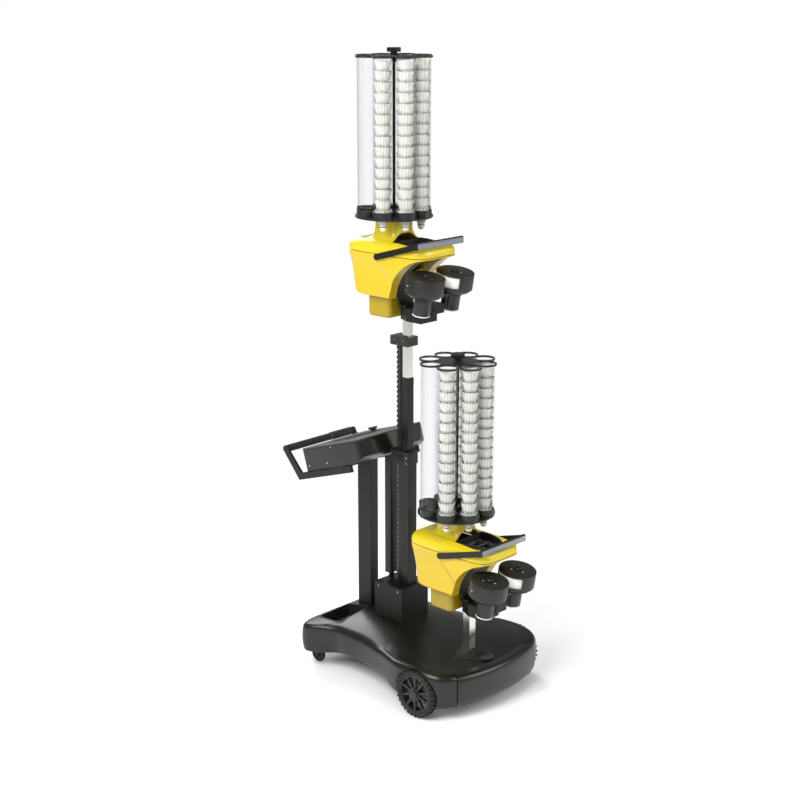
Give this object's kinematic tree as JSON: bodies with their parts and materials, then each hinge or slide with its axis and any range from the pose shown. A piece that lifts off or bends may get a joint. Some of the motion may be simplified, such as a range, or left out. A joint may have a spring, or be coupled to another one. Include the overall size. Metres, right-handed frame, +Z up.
{
  "type": "badminton serving machine",
  "caption": "Wheeled badminton serving machine: two yellow serving heads with tube carousels over foam rollers, one on a telescopic mast, with a push handle and console.",
  "frame": {"origin": "on the floor, under the middle of the machine's length and width", "axes": "+Z up; -Y is the front, where the shuttles leave; +X is to the right as seen from the front"},
  "size_m": [0.642, 1.1049, 2.495],
  "materials": {
    "black_frame": "powder-coated steel",
    "black_cover": "glossy moulded plastic",
    "black_plastic": "moulded plastic",
    "grey_plastic": "moulded plastic",
    "steel": "ground steel",
    "bright_post": "polished",
    "tread": "soft rubber with blocks",
    "soft_rubber": "matt rubber",
    "column": "black anodised",
    "yellow": "glossy moulded plastic",
    "amber": "glossy moulded plastic",
    "clear_tube": "clear plastic",
    "feather": "white feather and cork",
    "foam": "dense white foam",
    "bail_grey": "gloss enamel"
  },
  "bodies": {
    "base": {"chassis": "black_frame", "base_cover": "black_cover", "bumper": "black_cover", "battery_tray": "black_plastic", "battery": "grey_plastic", "axle": "steel", "foot_box": "black_frame", "outer_column": "column", "lift_drive": "column", "handle_post": "black_frame", "console_tray": "black_cover", "console_lid": "grey_plastic", "handle_frame": "column", "grips": "soft_rubber", "front_post": "bright_post"},
    "left_wheel": {"tyre_left": "tread", "rim_left": "black_plastic"},
    "right_wheel": {"tyre_right": "tread", "rim_right": "black_plastic"},
    "left_castor": {"caster_fork_left": "black_frame"},
    "left_castor_wheel": {"caster_wheel_left": "soft_rubber"},
    "right_castor": {"caster_fork_right": "black_frame"},
    "right_castor_wheel": {"caster_wheel_right": "soft_rubber"},
    "middle_mast": {"middle_tube": "column"},
    "upper_mast": {"upper_post": "bright_post", "collar_block": "black_plastic", "cable_chain": "black_plastic"},
    "stop_key": {"stop_button": "black_plastic"},
    "upper_head": {"upper_frame": "column", "upper_shell": "amber", "upper_cover": "yellow", "upper_gear_cover": "amber"},
    "upper_carousel": {"upper_turntable": "black_plastic", "upper_shaft": "column", "upper_ring_plate": "black_plastic", "upper_full_tubes": "clear_tube", "upper_empty_tubes": "clear_tube", "upper_shuttles": "feather"},
    "upper_guard_bail": {"upper_bail": "bail_grey"},
    "upper_feeder": {"upper_feed_arm": "grey_plastic"},
    "upper_launcher": {"upper_carrier": "column", "upper_guards": "black_plastic"},
    "upper_left_roller": {"upper_roller_left": "foam"},
    "upper_right_roller": {"upper_roller_right": "foam"},
    "lower_head": {"lower_frame": "column", "lower_shell": "amber", "lower_cover": "yellow", "lower_gear_cover": "amber"},
    "lower_carousel": {"lower_turntable": "black_plastic", "lower_shaft": "column", "lower_ring_plate": "black_plastic", "lower_full_tubes": "clear_tube", "lower_empty_tubes": "clear_tube", "lower_shuttles": "feather"},
    "lower_guard_bail": {"lower_bail": "bail_grey"},
    "lower_feeder": {"lower_feed_arm": "grey_plastic"},
    "lower_launcher": {"lower_carrier": "column", "lower_guards": "black_plastic"},
    "lower_left_roller": {"lower_roller_left": "foam"},
    "lower_right_roller": {"lower_roller_right": "foam"}
  },
  "joints": [
    {"name": "left_wheel_roll", "type": "hinge", "parent": "base", "child": "left_wheel", "pos_m": [-0.2985, -0.30532, 0.095], "axis": [1, 0, 0], "continuous": true},
    {"name": "left_castor_swivel", "type": "hinge", "parent": "base", "child": "left_castor", "pos_m": [-0.215, 0.30968, 0.1], "axis": [0, 0, 1], "continuous": true},
    {"name": "left_castor_roll", "type": "hinge", "parent": "left_castor", "child": "left_castor_wheel", "pos_m": [-0.215, 0.33368, 0.034], "axis": [1, 0, 0], "continuous": true},
    {"name": "right_wheel_roll", "type": "hinge", "parent": "base", "child": "right_wheel", "pos_m": [0.2985, -0.30532, 0.095], "axis": [1, 0, 0], "continuous": true},
    {"name": "right_castor_swivel", "type": "hinge", "parent": "base", "child": "right_castor", "pos_m": [0.215, 0.30968, 0.1], "axis": [0, 0, 1], "continuous": true},
    {"name": "right_castor_roll", "type": "hinge", "parent": "right_castor", "child": "right_castor_wheel", "pos_m": [0.215, 0.33368, 0.034], "axis": [1, 0, 0], "continuous": true},
    {"name": "mast_lift", "type": "slide", "parent": "base", "child": "upper_mast", "axis": [0, 0, 1], "range_m": [0, 0.62]},
    {"name": "middle_lift", "type": "slide", "parent": "base", "child": "middle_mast", "axis": [0, 0, 1], "range_m": [0, 0.31]},
    {"name": "stop_press", "type": "slide", "parent": "base", "child": "stop_key", "axis": [0, 0.309, 0.9511], "range_m": [-0.005, 0], "stiffness_N_per_m": 400, "springref_m": 0.002},
    {"name": "upper_pan", "type": "hinge", "parent": "upper_mast", "child": "upper_head", "pos_m": [0, 0.02968, 1.468], "axis": [0, 0, 1], "range_deg": [-30, 30]},
    {"name": "upper_carousel_turn", "type": "hinge", "parent": "upper_head", "child": "upper_carousel", "pos_m": [0, 0.10368, 1.859], "axis": [0, 0, 1], "continuous": true},
    {"name": "upper_bail_lift", "type": "hinge", "parent": "upper_head", "child": "upper_guard_bail", "pos_m": [0, 0.07668, 1.719], "axis": [-1, 0, 0], "range_deg": [0, 30]},
    {"name": "upper_feed", "type": "hinge", "parent": "upper_head", "child": "upper_feeder", "pos_m": [0, 0.02968, 1.745], "axis": [1, 0, 0], "range_deg": [0, 40]},
    {"name": "upper_tilt", "type": "hinge", "parent": "upper_head", "child": "upper_launcher", "pos_m": [0, -0.12032, 1.534], "axis": [1, 0, 0], "range_deg": [-25, 8]},
    {"name": "upper_left_roller_spin", "type": "hinge", "parent": "upper_launcher", "child": "upper_left_roller", "pos_m": [-0.082, -0.13699, 1.62854], "axis": [0, -0.1736, 0.9848], "continuous": true},
    {"name": "upper_right_roller_spin", "type": "hinge", "parent": "upper_launcher", "child": "upper_right_roller", "pos_m": [0.082, -0.13699, 1.62854], "axis": [0, -0.1736, 0.9848], "continuous": true},
    {"name": "lower_pan", "type": "hinge", "parent": "base", "child": "lower_head", "pos_m": [0, -0.30632, 0.344], "axis": [0, 0, 1], "range_deg": [-30, 30]},
    {"name": "lower_carousel_turn", "type": "hinge", "parent": "lower_head", "child": "lower_carousel", "pos_m": [0, -0.23232, 0.735], "axis": [0, 0, 1], "continuous": true},
    {"name": "lower_bail_lift", "type": "hinge", "parent": "lower_head", "child": "lower_guard_bail", "pos_m": [0, -0.25932, 0.595], "axis": [-1, 0, 0], "range_deg": [0, 30]},
    {"name": "lower_feed", "type": "hinge", "parent": "lower_head", "child": "lower_feeder", "pos_m": [0, -0.30632, 0.621], "axis": [1, 0, 0], "range_deg": [0, 40]},
    {"name": "lower_tilt", "type": "hinge", "parent": "lower_head", "child": "lower_launcher", "pos_m": [0, -0.45632, 0.41], "axis": [1, 0, 0], "range_deg": [-25, 8]},
    {"name": "lower_left_roller_spin", "type": "hinge", "parent": "lower_launcher", "child": "lower_left_roller", "pos_m": [-0.082, -0.47299, 0.50454], "axis": [0, -0.1736, 0.9848], "continuous": true},
    {"name": "lower_right_roller_spin", "type": "hinge", "parent": "lower_launcher", "child": "lower_right_roller", "pos_m": [0.082, -0.47299, 0.50454], "axis": [0, -0.1736, 0.9848], "continuous": true}
  ],
  "couplings": [
    {"joint": "middle_lift", "follows": "mast_lift", "ratio": 0.5}
  ]
}
